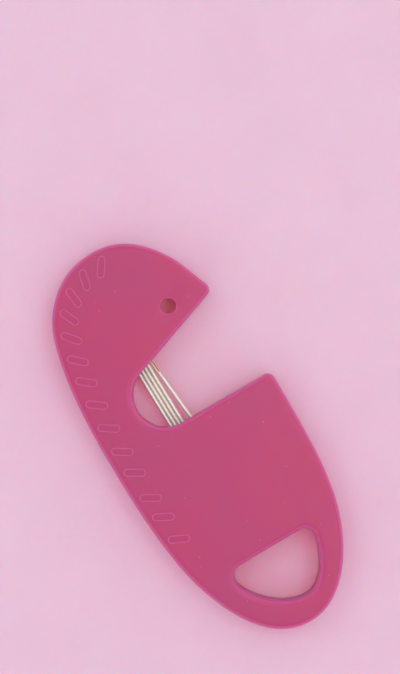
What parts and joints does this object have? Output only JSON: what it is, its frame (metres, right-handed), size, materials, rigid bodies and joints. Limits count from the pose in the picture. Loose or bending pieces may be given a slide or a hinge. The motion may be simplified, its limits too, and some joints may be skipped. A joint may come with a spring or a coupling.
{
  "type": "needle threader",
  "caption": "Flat pocket needle threader: a beaked head with an eye hole and a sprung thread blade, and a body with a finger loop and a pocket of stored sewing needles.",
  "frame": {"origin": "middle of the tool's outline, on its back face", "axes": "+Z out of the front face, +Y along the tool from the body to the head, +X towards the beak and the open side of the gap"},
  "size_m": [0.0334, 0.0768, 0.008],
  "materials": {
    "shell": "satin, faintly translucent",
    "button": "satin",
    "white_plastic": "smooth",
    "seat_plastic": "smooth",
    "blade_steel": "ground",
    "small_steel": "drawn",
    "needle": "polished, with gilt eyes"
  },
  "bodies": {
    "casing": {"front_shell": "shell", "back_shell": "shell", "needle_seat": "seat_plastic", "pocket_cover": "shell", "return_spring": "small_steel", "spring_guide_pin": "small_steel"},
    "slider": {"blade_carriage": "white_plastic", "threading_blade": "blade_steel", "blade_rivet_1": "small_steel", "blade_rivet_2": "small_steel", "thumb_button": "button"},
    "stored_needle_1": {"needle_1": "needle"},
    "stored_needle_2": {"needle_2": "needle"},
    "stored_needle_3": {"needle_3": "needle"},
    "stored_needle_4": {"needle_4": "needle"},
    "stored_needle_5": {"needle_5": "needle"}
  },
  "joints": [
    {"name": "blade_slide", "type": "slide", "parent": "casing", "child": "slider", "axis": [0.5736, -0.8192, 0], "range_m": [0, 0.0044], "stiffness_N_per_m": 60, "springref_m": -0.003, "deforming": ["return_spring"]},
    {"name": "needle_1_slide", "type": "slide", "parent": "casing", "child": "stored_needle_1", "axis": [-0.0175, 0.9998, 0], "range_m": [-0.0053, 0.0016]},
    {"name": "needle_2_slide", "type": "slide", "parent": "casing", "child": "stored_needle_2", "axis": [-0.0175, 0.9998, 0], "range_m": [-0.0062, 0.0007]},
    {"name": "needle_3_slide", "type": "slide", "parent": "casing", "child": "stored_needle_3", "axis": [-0.0175, 0.9998, 0], "range_m": [-0.0047, 0.0022]},
    {"name": "needle_4_slide", "type": "slide", "parent": "casing", "child": "stored_needle_4", "axis": [-0.0175, 0.9998, 0], "range_m": [-0.0058, 0.0011]},
    {"name": "needle_5_slide", "type": "slide", "parent": "casing", "child": "stored_needle_5", "axis": [-0.0889, 0.996, 0], "range_m": [-0.0021, 0.0008]}
  ]
}
